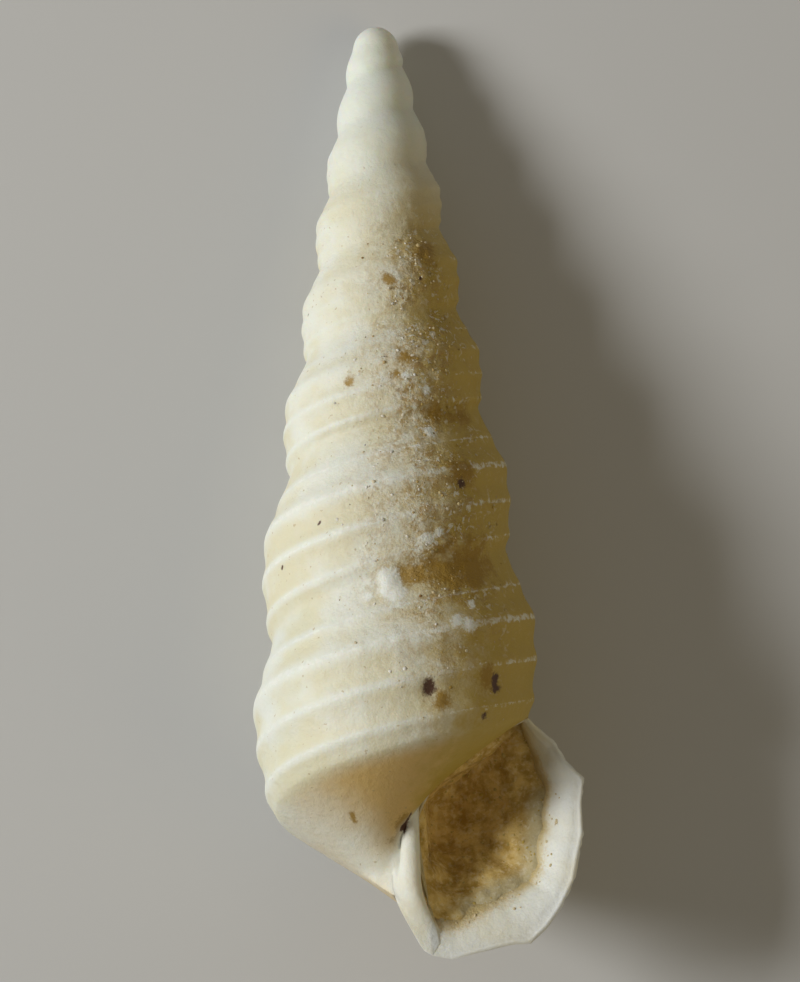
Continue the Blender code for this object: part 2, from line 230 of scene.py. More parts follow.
# How far the marks reach, in their radii, and how much more in patches: first their colour, then their shape
PIT_SPREAD, CHALK_SPREAD, STAIN_SPREAD = (0.7, 0.5), (0.6, 0.7), (0.6, 0.8)
PIT_HOLLOW, CHALK_LUMP = 0.8, (0.55, 0.5)
MARKS_ABOVE = 0.02 * MM  # the worn flats under the shell, below this height, stay as they are

# Where the finish changes
CREST_WIDTH, RIB_CREST = 0.5, 0.8  # a white crest's share of its cord's width, and a rib's share of its white
BASE_COLOUR, PILLAR_COLOUR = (0.98, 1.25), (1.80, 2.00)  # places down the whorl between which they begin
LIP_COLOUR, LIP_TOP = (-0.06, -0.01), 0.05  # turns between which the lip's colour begins, and its upper end

# Wear on the upper side of the early whorls, as passes of smoothing
WEAR_PASSES, WEAR_LEAST = 40, 0.03
WEAR_MIDDLE, WEAR_SPREAD = 0.29, 0.19  # where it lies round the shell and how far it reaches, in turns
WEAR_FULL, WEAR_ENDS = -3.6, -1.5  # turns along the shell
TIP_WHITE, TIP_FADES = -6.2, -3.3  # turns along the shell between which the white of the tip ends

# The picture
LENS, SENSOR, NEAREST_SEEN = 300, 36, 0.001
PICTURE_HEIGHT = 4.410 * MM
CAMERA_TILT, CAMERA_ROLL = math.radians(1.6), math.radians(-2.05)
CAMERA_AIM = Vector((-0.042, -0.0115, 0.550)) * MM
LIGHTS_AIM = (0, 0, 0.0006)
KEY_FROM, KEY_SIZE, KEY_POWER, KEY_COLOUR = (-0.031, 0.005, 0.020), 0.012, 0.0118, (1, 1, 0.99)
WARM_FROM, WARM_SIZE, WARM_POWER, WARM_COLOUR = (0.030, -0.012, 0.030), 0.03, 0.0030, (1, 0.83, 0.50)
ROOM_COLOUR, ROOM_STRENGTH = (1, 0.96, 0.9), 0.12
FLOOR_SIZE, FLOOR_GREY = 0.25, (0.56, 0.56, 0.55)

# Fineness of the pieces
STEPS_PER_TURN, SUTURE_STEPS = 192, 880
FACE_ROWS, BASE_ROWS, PILLAR_ROWS = 44, 22, 12
PALE_ROWS = slice(FACE_ROWS // 2, FACE_ROWS + BASE_ROWS - 7)  # rows of the lip with pale sediment beside them
SANDY_ROWS = (FACE_ROWS // 3, FACE_ROWS + BASE_ROWS + PILLAR_ROWS - 2)  # rows of the lip that have grains
TIP_RINGS = 14
CAVITY_TURNS = [0, -0.004, -0.01, -0.018, -0.026, -0.034, FILL_FRONT, -0.056, -0.068, -0.08, -0.10, -0.13,
                -0.16, -0.20, -0.24, -0.28, -0.32, -0.36, -0.40, -0.45, -0.50, -0.56, CAVITY_END]
WELD = 0.0004 * MM
CREASE_ANGLE = math.radians(60)


def ease(value, low, high):
    """0 below low, 1 above high, and a smooth step between."""
    share = min(1.0, max(0.0, (value - low) / (high - low)))
    return share * share * (3 - 2 * share)


def bell(value, middle, half_width):
    return math.exp(-(((value - middle) / half_width) ** 2))


def whorl_radius(turn):
    slowed = -GROWTH_EASE * math.log1p(math.exp((turn - GROWTH_ENDS) / -GROWTH_EASE))
    narrowed = 1 - TIP_NARROWING * (1 - ease(turn, TIP_FROM, TIP_TO))
    return BODY_RADIUS * GROWTH_PER_TURN**slowed * narrowed


def descent(turn):
    """How far the suture drops per turn."""
    late = ease(turn, DESCENT_STARTS, DESCENT_ENDS)
    return whorl_radius(turn) * (EARLY_DESCENT + (LATE_DESCENT - EARLY_DESCENT) * late)


SUTURE_TURNS = np.linspace(NUCLEUS_TURN, 1, SUTURE_STEPS + 1)
SUTURE_STEP = SUTURE_TURNS[1] - SUTURE_TURNS[0]
SUTURE_DEPTHS = NUCLEUS_DEPTH + np.cumsum([descent(turn) for turn in SUTURE_TURNS]) * SUTURE_STEP


def suture(turn):
    """(radius, depth) of the suture above the whorl. Before the nucleus it is a level ring."""
    turn = max(turn, NUCLEUS_TURN)
    share = EARLY_SUTURE + (LATE_SUTURE - EARLY_SUTURE) * ease(turn, SUTURE_FROM, SUTURE_TO)
    return share * whorl_radius(turn - 1), float(np.interp(turn, SUTURE_TURNS, SUTURE_DEPTHS))


def from_band(turn):
    """How far round the shell this turn is from the sandy band, as a share of a turn."""
    return (turn - BAND_MIDDLE + 0.5) % 1 - 0.5


def rib(turn, down):
    """Height of the ribs that cross the face, 0 to about 1, with what wear has left of each."""
    ribs = turn * RIBS_PER_TURN
    number = math.floor(ribs)
    middle = 0.5 + RIB_STRAY * noise.noise(Vector((number * 3.17, 1.3, 0)))
    left = RIB_LEFT + RIB_PATCHES * noise.noise(Vector((number * 1.71, down * 2.2, 4.1)))
    sheltered = RIB_BARE + (1 - RIB_BARE) * bell(from_band(turn), 0, RIB_SHELTER)
    return max(0.0, left) * sheltered * bell(ribs - number, middle, RIB_WIDTH)


def worn(turn, down):
    """Unevenness of the worn face, in whorl radii."""
    radius = whorl_radius(turn) / WEAR_SIZE
    angle = 2 * math.pi * turn
    place = Vector((radius * math.cos(angle), radius * math.sin(angle), WEAR_ALONG * (turn + down)))
    return WEAR_HEIGHT * (noise.noise(place) + 0.5 * noise.noise(2.3 * place))


def face_relief(turn, down):
    """How far the face stands out of the line between its sutures, in whorl radii."""
    full = ease(turn, CORDS_START, CORDS_FULL)
    edge = ease(min(down, 1 - down), 0, SUTURE_EDGE)
    ribbed = rib(turn, down)
    relief = RIB_HEIGHT * ribbed * (1 - ease(down, *RIB_FOOT)) * ease(down, *RIB_TOP)
    relief += worn(turn, down)
    for place, height, half_width in CORDS:
        stray = CORD_STRAY * noise.noise(Vector((turn * 3.1, place * 9, 0)))
        relief += height * (CORD_LOW + CORD_ON_RIB * ribbed) * bell(down, place + stray, half_width)
    return FACE_BULGE * math.sin(math.pi * down**BULGE_SKEW) + full * edge * relief


def face_point(turn, down):
    """(radius, depth) on the face of a whorl, from its upper suture (0) to its lower suture (1)."""
    (r0, d0), (r1, d1) = suture(turn), suture(turn + 1)
    size = min(whorl_radius(turn), d1 - d0)
    relief = 0 if down in (0, 1) else face_relief(turn, down)
    return r0 + (r1 - r0) * down + size * relief, d0 + (d1 - d0) * down


def bezier(start, leaving, arriving, end, t):
    """The point at t on the curve from start to end, which two handles shape."""
    s = 1 - t
    corners = zip(start, leaving, arriving, end)
    return tuple(s**3 * a + 3 * s * s * t * b + 3 * s * t * t * c + t**3 * d for a, b, c, d in corners)


def swell(turn, down):
    """How far the pillar's ridge stands out, less how deep the slit beside it is cut near its top."""
    blade = BLADE_HEIGHT * bell(turn, BLADE_TURN, BLADE_WIDTH)
    chink = CHINK_DEPTH * bell(turn, CHINK_TURN, CHINK_WIDTH)
    return blade - chink * (1 - ease(down, 0, CHINK_FADE))


def base_end(turn):
    """(radius, depth) where the base meets the pillar."""
    return PILLAR_RADIUS, min(suture(turn)[1] + BASE_DROP * whorl_radius(turn), LIP_CORNER[1])


def base_point(turn, across):
    """(radius, depth) on the base, from the lower suture line (0) to the pillar (1)."""
    radius, top = whorl_radius(turn), suture(turn)[1]
    shoulder, hollow = [(r * radius, top + d * radius) for r, d in (BASE_SHOULDER, BASE_HOLLOW)]
    point = bezier(suture(turn + 1), shoulder, hollow, base_end(turn), across)
    return point[0] + swell(turn, 0) * ease(across, SWELL_FROM, 1), point[1]


def pillar_point(turn, down):
    """(radius, depth) on the pillar, from the base (0) to its front end (1), where it is rounded off."""
    start = base_end(turn)[1]
    radius = (PILLAR_RADIUS + swell(turn, down)) * math.sqrt(1 - down**PILLAR_ROUNDING)
    return radius, start + (LIP_CORNER[1] - start) * down


def about_axis(turn, radius, depth):
    """The point at this turn, radius and depth. The lower end of the axis bends towards the lip."""
    angle = 2 * math.pi * turn
    bend = LIP_CORNER[0] * ease(depth, PILLAR_BEND_FROM, PILLAR_BEND_TO)
    return Vector((radius * math.cos(angle) + bend, -depth, radius * math.sin(angle)))


def along(points, lengths, share):
    """The point at this share of the length of a line through the points."""
    return Vector([np.interp(share * lengths[-1], lengths, [p[axis] for p in points]) for axis in range(3)])


def lengths_of(points):
    return np.concatenate([[0], np.cumsum([(b - a).length for a, b in zip(points, points[1:])])])


LAST_FACE = FACE_ROWS
LAST_BASE = LAST_FACE + BASE_ROWS
LAST_ROW = LAST_BASE + PILLAR_ROWS


def plain_point(turn, row):
    """A point of the last whorl before its lip is opened out: its face, its base and its pillar."""
    if row <= LAST_FACE:
        return about_axis(turn, *face_point(turn, row / FACE_ROWS))
    if row <= LAST_BASE:
        return about_axis(turn, *base_point(turn, (row - LAST_FACE) / BASE_ROWS))
    return about_axis(turn, *pillar_point(turn, (row - LAST_BASE) / PILLAR_ROWS))


def lip_edge(turn, first_row, shape):
    """The edge of the mouth along a shape, one point for each row, spaced as the rows are at this turn."""
    rows = [plain_point(turn, row) for row in range(first_row, LAST_ROW + 1)]
    outline = [rows[0]] + [Vector((r, -d, 0)) for r, d in shape] + [rows[-1]]
    row_lengths, outline_lengths = lengths_of(rows), lengths_of(outline)
    points = [along(outline, outline_lengths, length / row_lengths[-1]) for length in row_lengths]
    return dict(zip(range(first_row, LAST_ROW + 1), points))


OUTER_EDGE = lip_edge(0, 0, LIP_OUTLINE)
INNER_EDGE = lip_edge(-1, LAST_FACE, INNER_LIP)


def flare(turn):
    """0 along the tube, rising to 1 at its lip."""
    return max(0.0, 1 + turn / FLARE_TURNS) ** FLARE_POWER


def body_point(turn, row):
    """A point on the outside of the last whorl, which opens to the outer lip and starts at the inner one."""
    point = plain_point(turn, row).lerp(OUTER_EDGE[row], flare(turn))
    if row > LAST_FACE:
        point = point.lerp(INNER_EDGE[row], max(0.0, 1 - (turn + 1) / INNER_TURNS) ** 2)
    return point


# The loop round the mouth: down the outer lip, then up the pillar and along the whorl within
LOOP = [(0, row) for row in range(LAST_ROW)] + [(-1, row) for row in range(LAST_ROW, LAST_FACE, -1)]
PILLAR_LOOP = 2 * PILLAR_ROWS


def loop_point(place):
    turn, row = LOOP[place % len(LOOP)]
    return body_point(turn, row)


def mean_of(points):
    return sum(points, Vector()) / len(points)


def towards(point, middle, distance):
    """The point moved this far towards the middle."""
    return point + (middle - point).normalized() * distance


def tube_outline(turn):
    """The tube's section at this turn, in the loop's order, as it is before its walls are thickened."""
    outer = [face_point(turn, k / FACE_ROWS) for k in range(FACE_ROWS + 1)]
    floor = [base_point(turn, k / BASE_ROWS) for k in range(1, BASE_ROWS + 1)]
    low, high = base_end(turn)[1], base_end(turn - 1)[1]
    pillar = [(PILLAR_RADIUS, low + (high - low) * k / PILLAR_LOOP) for k in range(1, PILLAR_LOOP + 1)]
    roof = [base_point(turn - 1, k / BASE_ROWS) for k in range(BASE_ROWS - 1, 0, -1)]
    return outer + floor + pillar + roof


def wall_at(place):
    """Thickness of the shell round the open tube, by place on the loop."""
    if place <= LAST_FACE:
        return WALL
    if place <= LAST_BASE:
        return WALL + (BASE_WALL - WALL) * (place - LAST_FACE) / BASE_ROWS
    return GLAZE


def section(turn, gap=0):
    """The open tube's ring at this turn, narrowed all round by a gap."""
    outline = tube_outline(turn)
    middle = mean_of([Vector((r, d, 0)) for r, d in outline])
    ring = []
    for place, (r, d) in enumerate(outline):
        point = towards(Vector((r, d, 0)), middle, wall_at(place) + gap)
        floor_top = base_end(turn)[1] - BASE_WALL - gap
        ring.append(about_axis(turn, point.x, min(point.y, floor_top) if place > LAST_BASE else point.y))
    return ring


def mouth_ring(turn, gap=0):
    """A ring of the inside of the mouth, which opens out to the lip."""
    edge = [loop_point(place) for place in range(len(LOOP))]
    middle = mean_of(edge)
    walls = [gap + (LIP_EDGE if place < LAST_ROW else GLAZE) for place in range(len(LOOP))]
    inner = [towards(point, middle, wall) for point, wall in zip(edge, walls)]
    return [a.lerp(b, flare(turn)) for a, b in zip(section(turn, gap), inner)]


def closing_rings(ring, shares, sag=Vector()):
    """Rings that close the end of a tube, shrinking to its middle."""
    middle = mean_of(ring)
    return [[middle.lerp(p, share) + sag * (1 - share * share) ** 2 for p in ring] for share in shares]


def add_grid(mesh, columns, rows, place, spot=None):
    """A grid of cells, whose corner (column, row) goes to place(column, row).

    Its corners keep (turn, down) from spot(column, row) in the UV map, or else count as inside the mouth.
    """
    chart = mesh.loops.layers.uv.verify()
    made = bmesh.ops.create_grid(mesh, x_segments=columns, y_segments=rows, size=0.5)["verts"]
    corners = {v: (round((v.co.x + 0.5) * columns), round((v.co.y + 0.5) * rows)) for v in made}
    for vert, corner in corners.items():
        vert.co = place(*corner)
        trace = spot(*corner) if spot else INSIDE
        for loop in vert.link_loops:
            loop[chart].uv = trace


def add_rings(mesh, rings):
    """A tube through closed rings that have the same number of points."""
    add_grid(mesh, len(rings) - 1, len(rings[0]), lambda i, j: rings[i][j % len(rings[i])])


def tip_point(ring, step):
    """A point on the rounded tip, from the level ring of the first suture (0) to the very tip."""
    lift = math.pi / 2 * ring / TIP_RINGS
    radius, depth = suture(NUCLEUS_TURN)
    turn = NUCLEUS_TURN + step / STEPS_PER_TURN
    return about_axis(turn, radius * math.cos(lift), depth * (1 - math.sin(lift)))


def row_place(row):
    """How far down a row lies: 0 to 1 on the face, 1 to 2 on the base, 2 to 3 on the pillar."""
    if row <= LAST_FACE:
        return row / FACE_ROWS
    if row <= LAST_BASE:
        return 1 + (row - LAST_FACE) / BASE_ROWS
    return 2 + (row - LAST_BASE) / PILLAR_ROWS


def shell_mesh():
    """The tip, the whorls above the last, the last whorl with its base and pillar, and the open mouth."""
    mesh = bmesh.new()
    spire_start = NUCLEUS_TURN - 1
    spire_steps = round((-1 - spire_start) * STEPS_PER_TURN)

    def spire_turn(step):
        return spire_start + (-1 - spire_start) * step / spire_steps

    add_grid(mesh, TIP_RINGS, STEPS_PER_TURN, tip_point, lambda ring, step: (NUCLEUS_TURN, 0))
    add_grid(
        mesh,
        spire_steps,
        LAST_FACE,
        lambda step, row: about_axis(spire_turn(step), *face_point(spire_turn(step), row / FACE_ROWS)),
        lambda step, row: (spire_turn(step), row_place(row)),
    )
    add_grid(
        mesh,
        STEPS_PER_TURN,
        LAST_ROW,
        lambda step, row: body_point(step / STEPS_PER_TURN - 1, row),
        lambda step, row: (step / STEPS_PER_TURN - 1, row_place(row)),
    )
    edge, inner = [loop_point(place) for place in range(len(LOOP))], mouth_ring(0)
    rounding = []
    for k in range(1, LIP_RINGS):
        share = k / LIP_RINGS
        rise = Vector((0, 0, LIP_ROUNDING * math.sin(math.pi * share)))
        rounding.append([a.lerp(b, share) + rise for a, b in zip(edge, inner)])
    tube = [edge] + rounding + [mouth_ring(turn) for turn in CAVITY_TURNS]
    add_rings(mesh, tube + closing_rings(tube[-1], CAVITY_CLOSING))
    return mesh


def fill_mesh():
    """The sediment, which fills the mouth from just behind the lip and is hollow at its face."""
    mesh = bmesh.new()
    tube = [mouth_ring(turn, FILL_GAP) for turn in CAVITY_TURNS if FILL_FRONT >= turn > CAVITY_END]
    hollow = mean_of(mouth_ring(FILL_FRONT - FILL_HOLLOW)) - mean_of(mouth_ring(FILL_FRONT))
    face = closing_rings(tube[0], [k / FILL_RINGS for k in range(FILL_RINGS)], hollow)
    add_rings(mesh, face + tube + closing_rings(tube[-1], FILL_CLOSING))
    return mesh


def chart_of(mesh):
    """(turn, down) of each vertex of the shell, from its chart."""
    chart = mesh.loops.layers.uv.verify()
    return {v: tuple(v.link_loops[0][chart].uv) for v in mesh.verts if v.link_loops}


def exposure(turn, down):
    """How far the early whorls are rubbed down here, 0 to 1."""
    share = (turn - WEAR_MIDDLE + 0.5) % 1 - 0.5
    return bell(share, 0, WEAR_SPREAD) * (1 - ease(turn + down, WEAR_FULL, WEAR_ENDS))


def wear(mesh):
    """Rub down the cords and sutures of the early whorls, and a little all over."""
    axes = {"use_axis_x": True, "use_axis_y": True, "use_axis_z": True}
    exposed = {v: max(WEAR_LEAST, exposure(*spot)) for v, spot in chart_of(mesh).items() if spot[1] <= 1}
    for number in range(WEAR_PASSES):
        rubbed = [v for v, amount in exposed.items() if amount > number / WEAR_PASSES]
        bmesh.ops.smooth_vert(mesh, verts=rubbed, factor=0.5, **axes)


def nearest(points):
    """A tree that finds the nearest of the points."""
    tree = kdtree.KDTree(len(points))
    for index, point in enumerate(points):
        tree.insert(point, index)
    tree.balance()
    return tree


def soften_corner(shell, fill):
    """Let the pillar's front end down to the lip, and raise the sharp hollow between them to a smooth one.

    It is raised to the weighted mean of the highest points round about, cell by cell, leaving out what lies
    under the sediment.
    """
    radius, depth, reach = CORNER
    middle, end = Vector((radius, -depth)), Vector((LIP_CORNER[0], -LIP_CORNER[1]))
    for mesh in (fill, shell):
        inner = [e for e in mesh.edges if max((v.co.xy - middle).length for v in e.verts) < reach]
        bmesh.ops.subdivide_edges(mesh, edges=inner, cuts=1, use_grid_fill=True)
        for vert in mesh.verts:
            if vert.co.z > 0:
                vert.co.z *= 1 - END_SINKS * (1 - ease((vert.co.xy - end).length, END_NEAR, END_FAR))
        mesh.normal_update()
    sediment = BVHTree.FromBMesh(fill)
    near, tops = [], {}
    for mesh, below in ((fill, FILL_BELOW), (shell, 0)):
        for vert in mesh.verts:
            away = (vert.co.xy - middle).length
            if away > CORNER_SEEN * reach or vert.normal.z < CORNER_UP:
                continue
            if mesh is shell and sediment.ray_cast(vert.co, Vector((0, 0, 1)))[0]:
                continue
            cell = round(vert.co.x / CORNER_CELL), round(vert.co.y / CORNER_CELL)
            tops[cell] = max(tops.get(cell, -1), vert.co.z)
            near.append((vert, cell, 1 - ease(away, CORNER_FULL * reach, reach), below))
    cells, heights = np.array(list(tops)) * CORNER_CELL, np.array(list(tops.values()))
    for vert, cell, amount, below in near:
        spread = np.exp(-((cells - (vert.co.x, vert.co.y)) ** 2).sum(axis=1) / (2 * CORNER_SOFTNESS**2))
        level = float((spread * heights).sum() / spread.sum()) - below
        if vert.co.z > tops[cell] - CORNER_DEPTH and level > vert.co.z:
            vert.co.z += amount * (level - vert.co.z)


def close(mesh):
    """Join the grids' edges, and point the faces outwards."""
    bmesh.ops.remove_doubles(mesh, verts=mesh.verts, dist=WELD)
    bmesh.ops.dissolve_degenerate(mesh, edges=mesh.edges, dist=WELD)
    bmesh.ops.recalc_face_normals(mesh, faces=mesh.faces)


def lay_down(meshes, shell):
    """Lay the meshes down as the solids lie, wear the cords under the shell flat, and give the move made."""
    turned = Matrix.Rotation(-LAY_TILT, 4, "X")
    for mesh in meshes:
        bmesh.ops.transform(mesh, verts=mesh.verts, matrix=turned)
    low = [min(v.co[axis] for v in shell.verts) for axis in range(3)]
    high = [max(v.co[axis] for v in shell.verts) for axis in range(3)]
    move = [(SHELL_LOW[a] + SHELL_HIGH[a] - low[a] - high[a]) / 2 for a in (0, 1)] + [SHELL_HIGH[2] - high[2]]
    for mesh in meshes:
        bmesh.ops.translate(mesh, verts=mesh.verts, vec=move)
    geometry = shell.verts[:] + shell.edges[:] + shell.faces[:]
    bmesh.ops.bisect_plane(shell, geom=geometry, plane_co=(0, 0, 0), plane_no=(0, 0, 1), clear_inner=True)
    bmesh.ops.holes_fill(shell, edges=[e for e in shell.edges if e.is_boundary])
    return Matrix.Translation(move) @ turned


def add_piece(name, mesh, finish):
    data = bpy.data.meshes.new(name)
    mesh.to_mesh(data)
    mesh.free()
    data.shade_smooth()
    data.set_sharp_from_angle(angle=CREASE_ANGLE)
    data.materials.append(finish)
    piece = bpy.data.objects.new(name, data)
    bpy.context.scene.collection.objects.link(piece)
    return piece


def band(turn, down):
    """How much sand and grime lie here on the whorls, 0 to 1."""
    share, place = from_band(turn), turn + down
    lengthwise = ease(place, BAND_FROM, BAND_FULL) * (1 - ease(place, BAND_FADE, BAND_TO) * BAND_LOSS)
    return lengthwise * bell(share, 0, BAND_WIDTH if share < 0 else BAND_WIDTH * BAND_LEFT)


def patches(place, size, seed):
    """Soft patches of about this size, from 0 to 1."""
    return 0.5 + PATCH_CONTRAST * noise.noise(place / size + Vector((seed, 2 * seed, 0)))


def on_whorl(turn, down):
    """Where (turn, down) lies on the shell as it is drawn about its axis."""
    if down <= 1:
        return about_axis(turn, *face_point(turn, down))
    return about_axis(turn, *base_point(turn, down - 1))


def shown(marks, place, size):
    """How strongly the marks show here, with their radii taken at this size."""
    return sum(bell((place - middle).length, 0, radius * size) for middle, radius, _ in marks)


def sunk(marks, place, size):
    """How deep the marks lie here, with their radii taken at this size."""
    return sum(depth * bell((place - middle).length, 0, radius * size) for middle, radius, depth in marks)


def paint_shell(mesh, laid):
    """Give each vertex the amounts that the finish reads, and press the marks into the surface."""
    names = ("crest", "grit", "stain", "chalk", "pit", "tip", "base", "inside", "side", "silt")
    layers = {name: mesh.verts.layers.float.new(name) for name in names}
    pits, chalk, stains = [
        [(laid @ on_whorl(*spot), radius, depth) for spot, radius, depth in marks]
        for marks in (PITS, CHALK, STAINS)
    ]
    edge = [laid @ point for point in mouth_ring(FILL_FRONT)]
    sand_edge, silt_edge = nearest(edge[: LAST_ROW + 1]), nearest(edge)
    mesh.normal_update()
    moves = []
    for vert, (turn, down) in chart_of(mesh).items():
        place = vert.co
        inside = down > INSIDE_FROM
        on_face = not inside and down <= 1
        full = ease(turn, CORDS_START, CORDS_FULL) * (1 - exposure(turn, down)) if on_face else 0
        crest = full * sum(bell(down, middle, CREST_WIDTH * half) for middle, _, half in CORDS)
        if inside:
            sandy = 1 - ease(sand_edge.find(place)[2], 0, LIP_SAND)
        else:
            sandy = band(turn, down) * (1 - ease(down, *BAND_FOOT))
        grit = min(1.0, max(0.0, sandy * (GRIT_LEAST + GRIT_PATCHES * patches(place, SAND_PATCH, SAND_SEED))))
        uneven = patches(place, MARK_PATCH, MARK_SEED)
        pitted, chalky, stained = [
            min(1.0, shown(marks, place, least + more * uneven))
            for marks, (least, more) in ((pits, PIT_SPREAD), (chalk, CHALK_SPREAD), (stains, STAIN_SPREAD))
        ]
        lip = ease(turn, *LIP_COLOUR) if down > LIP_TOP else 0
        values = {
            "crest": max(crest, RIB_CREST * full * rib(turn, down)) if on_face else 0,
            "grit": grit,
            "stain": stained,
            "chalk": chalky,
            "pit": pitted,
            "tip": 1 - ease(turn + down, TIP_WHITE, TIP_FADES) if on_face else 0,
            "base": ease(down, *BASE_COLOUR),
            "inside": max(float(inside), lip, ease(down, *PILLAR_COLOUR)),
            # side: 1 on the right, away from the key lamp, where the finishes paint stain and shade in olive
            # and brown
            "side": 0 if inside else math.cos(2 * math.pi * turn),
            "silt": 1 - ease(silt_edge.find(place)[2], 0, LIP_SILT) if down > SILT_FROM else 0,
        }
        for name, value in values.items():
            vert[layers[name]] = value
        if inside:
            continue
        sink = sunk(pits, place, PIT_HOLLOW) + sunk(chalk, place, CHALK_LUMP[0] + CHALK_LUMP[1] * uneven)
        rough = grit * GRIT_HEIGHT * (patches(place, GRIT_SIZE, GRIT_SEED) - 0.5)
        moves.append((vert, vert.normal * (rough - sink)))
    for vert, move in moves:
        if vert.co.z > MARKS_ABOVE:
            vert.co += move


def paint_sediment(mesh, laid):
    """Roughen the sediment's face, and mark where the sand is pale, which is beside the outer lip."""
    pale = mesh.verts.layers.float.new("pale")
    lip = nearest([laid @ point for point in mouth_ring(FILL_FRONT)[PALE_ROWS]])
    mesh.normal_update()
    for vert in mesh.verts:
        place = vert.co.copy()
        lumps = sum(height * (patches(place, size * MM, seed) - 0.5) for height, size, seed in SEDIMENT_LUMPS)
        if vert.normal.z > SEDIMENT_UP:
            vert.co += vert.normal * lumps * MM
        vert[pale] = 1 - ease(lip.find(place)[2], 0, PALE_REACH)


def no_grains():
    """An empty mesh for grains, each of which keeps its tone and how far to the right it lies, where stain
    and painted shade turn it olive.
    """
    mesh = bmesh.new()
    mesh.verts.layers.float.new("tone")
    mesh.verts.layers.float.new("side")
    return mesh


def grain_radius(chooser, power):
    small, large = GRAIN_RADIUS
    return small + (large - small) * chooser.random() ** power


def grain(mesh, place, outward, radius, shade, warmth, chooser):
    """A small angular grain, sunk into the surface by about half."""
    tone, side = mesh.verts.layers.float["tone"], mesh.verts.layers.float["side"]
    made = bmesh.ops.create_icosphere(mesh, subdivisions=1, radius=radius)["verts"]
    sizes = [chooser.uniform(*GRAIN_STRETCH) for _ in range(2)] + [chooser.uniform(*GRAIN_THICKNESS)]
    stretch, spin = Matrix.Diagonal(sizes), Matrix.Rotation(chooser.uniform(0, GRAIN_SPIN), 3, "Z")
    facing = outward.to_track_quat("Z", "Y").to_matrix() @ spin
    for vert in made:
        corner = stretch @ vert.co * chooser.uniform(*GRAIN_CORNERS)
        vert.co = place - outward * radius * GRAIN_SINKS + facing @ corner
        vert[tone], vert[side] = shade, warmth


def crust_mesh(laid):
    """Sand grains stuck along the band, more of them in patches and on the larger whorls."""
    mesh = no_grains()
    chooser = random.Random(CRUST_SEED)
    count = 0
    while count < GRAINS:
        turn = chooser.uniform(BAND_FROM, BAND_TO)
        down = chooser.uniform(*CRUST_DOWN)
        place = laid @ on_whorl(turn, down)
        sandy = band(turn, down) * max(0.0, patches(place, SAND_PATCH, SAND_SEED) - SAND_SPARSE)
        if chooser.random() > sandy * whorl_radius(turn) / BODY_RADIUS:
            continue
        ahead = laid @ on_whorl(turn + CRUST_STEP[0], down) - place
        aside = laid @ on_whorl(turn, down + CRUST_STEP[1]) - place
        outward = ahead.cross(aside).normalized()
        if outward.dot(place - laid @ Vector((0, -suture(turn)[1], 0))) < 0:
            outward = -outward
        radius = grain_radius(chooser, CRUST_POWER)
        # outward.x: how far the grain faces right, where its painted shade and stain lie
        grain(mesh, place, outward, radius, chooser.random(), outward.x, chooser)
        count += 1
    return mesh


def sediment_grains(mesh, laid):
    """Sand grains over the face of the sediment, and some on the lip beside it."""
    grains = no_grains()
    chooser = random.Random(MOUTH_SEED)
    mesh.normal_update()
    open_faces = [f for f in mesh.faces if f.normal.z > SEDIMENT_OPEN and f.calc_area() > 0]
    weights = [f.calc_area() for f in open_faces]
    for face in chooser.choices(open_faces, weights, k=MOUTH_GRAINS):
        corners = [v.co for v in face.verts]
        shares = [chooser.random() for _ in corners]
        place = sum((c * s for c, s in zip(corners, shares)), Vector()) / sum(shares)
        radius = grain_radius(chooser, MOUTH_POWER)
        grain(grains, place, face.normal.copy(), radius, chooser.random(), MOUTH_WARMTH, chooser)
    for _ in range(LIP_GRAINS):
        turn = FILL_FRONT * (1 - LIP_SPREAD * chooser.random() ** 2)
        ring = mouth_ring(turn)
        row = chooser.randrange(*SANDY_ROWS)
        place = ring[row].lerp(ring[row + 1], chooser.random())
        outward = ((mean_of(ring) - place).normalized() + Vector((0, 0, 1))).normalized()
        radius = chooser.uniform(*GRAIN_RADIUS)
        grain(grains, laid @ place, outward, radius, LIP_SHADE, LIP_WARMTH, chooser)
    return grains


